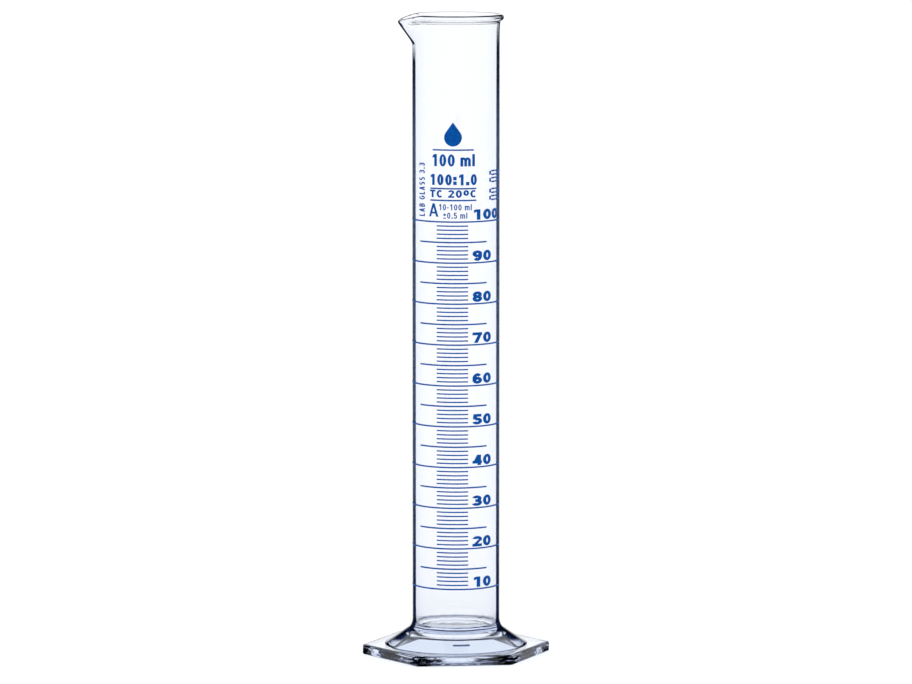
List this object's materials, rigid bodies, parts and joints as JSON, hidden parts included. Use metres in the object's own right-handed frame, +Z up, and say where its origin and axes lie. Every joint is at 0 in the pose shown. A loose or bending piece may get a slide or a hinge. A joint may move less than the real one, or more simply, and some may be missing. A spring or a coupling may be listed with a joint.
{
  "type": "graduated cylinder",
  "caption": "Tall clear glass measuring cylinder with a beaded pouring rim, a hexagonal glass foot and a blue enamel millilitre scale.",
  "frame": {"origin": "on the barrel's axis, at the plane that the foot stands on", "axes": "+Z up along the barrel; -X towards the pouring spout and one corner of the hexagonal foot; the scale faces -Y, turned 11 degrees towards -X"},
  "size_m": [0.0684, 0.0598, 0.233],
  "materials": {
    "borosilicate_glass": "clear, fire-polished",
    "blue_enamel": "fired enamel, satin"
  },
  "bodies": {
    "root": {"glass_barrel": "borosilicate_glass", "beaded_rim": "borosilicate_glass", "pouring_spout": "borosilicate_glass", "weld_collar": "borosilicate_glass", "hexagonal_foot": "borosilicate_glass", "long_line_010": "blue_enamel", "numeral_010": "blue_enamel", "long_line_020": "blue_enamel", "numeral_020": "blue_enamel", "long_line_030": "blue_enamel", "numeral_030": "blue_enamel", "long_line_040": "blue_enamel", "numeral_040": "blue_enamel", "long_line_050": "blue_enamel", "numeral_050": "blue_enamel", "long_line_060": "blue_enamel", "numeral_060": "blue_enamel", "long_line_070": "blue_enamel", "numeral_070": "blue_enamel", "long_line_080": "blue_enamel", "numeral_080": "blue_enamel", "long_line_090": "blue_enamel", "numeral_090": "blue_enamel", "long_line_100": "blue_enamel", "numeral_100": "blue_enamel", "half_line_015": "blue_enamel", "unit_lines_010_020": "blue_enamel", "half_line_025": "blue_enamel", "unit_lines_020_030": "blue_enamel", "half_line_035": "blue_enamel", "unit_lines_030_040": "blue_enamel", "half_line_045": "blue_enamel", "unit_lines_040_050": "blue_enamel", "half_line_055": "blue_enamel", "unit_lines_050_060": "blue_enamel", "half_line_065": "blue_enamel", "unit_lines_060_070": "blue_enamel", "half_line_075": "blue_enamel", "unit_lines_070_080": "blue_enamel", "half_line_085": "blue_enamel", "unit_lines_080_090": "blue_enamel", "half_line_095": "blue_enamel", "unit_lines_090_100": "blue_enamel", "droplet_emblem": "blue_enamel", "heading_rules": "blue_enamel", "capacity_mark": "blue_enamel", "graduation_mark": "blue_enamel", "temperature_mark": "blue_enamel", "class_mark": "blue_enamel", "range_mark": "blue_enamel", "tolerance_mark": "blue_enamel", "glass_mark": "blue_enamel", "batch_mark": "blue_enamel"}
  },
  "joints": []
}
